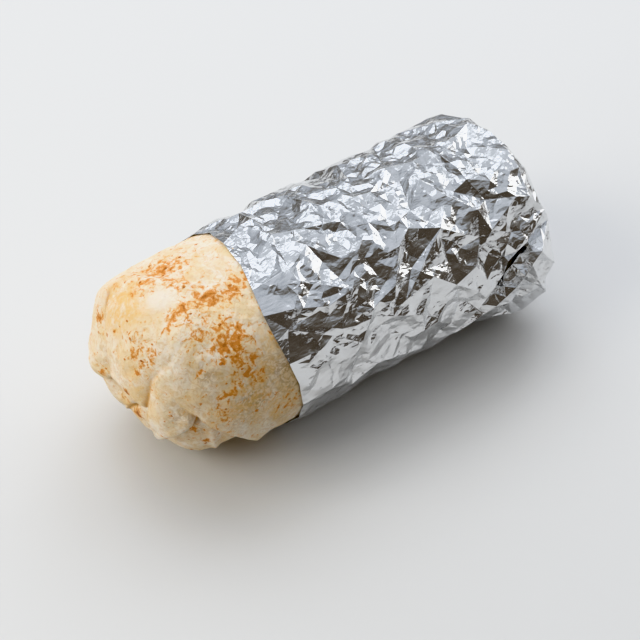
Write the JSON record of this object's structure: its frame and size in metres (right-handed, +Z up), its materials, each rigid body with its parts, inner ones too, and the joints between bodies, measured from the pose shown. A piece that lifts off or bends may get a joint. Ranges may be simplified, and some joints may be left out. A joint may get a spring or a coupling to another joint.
{
  "type": "burrito",
  "caption": "Rolled flour tortilla burrito, tucked shut at its bare toasted end and wrapped from there on in crumpled foil that is folded shut at the other end.",
  "frame": {"origin": "under the middle of the whole burrito, on the surface that it rests on", "axes": "+X along the roll from the bare end to the foil's folded end, +Y to the far side, +Z up"},
  "size_m": [0.1876, 0.0854, 0.0743],
  "materials": {
    "toasted_tortilla": "matt soft dough, cream with toasted golden-brown patches",
    "crumpled_foil": "bright kitchen foil, crumpled"
  },
  "bodies": {
    "root": {"tortilla_roll": "toasted_tortilla", "foil_wrap": "crumpled_foil"}
  },
  "joints": []
}
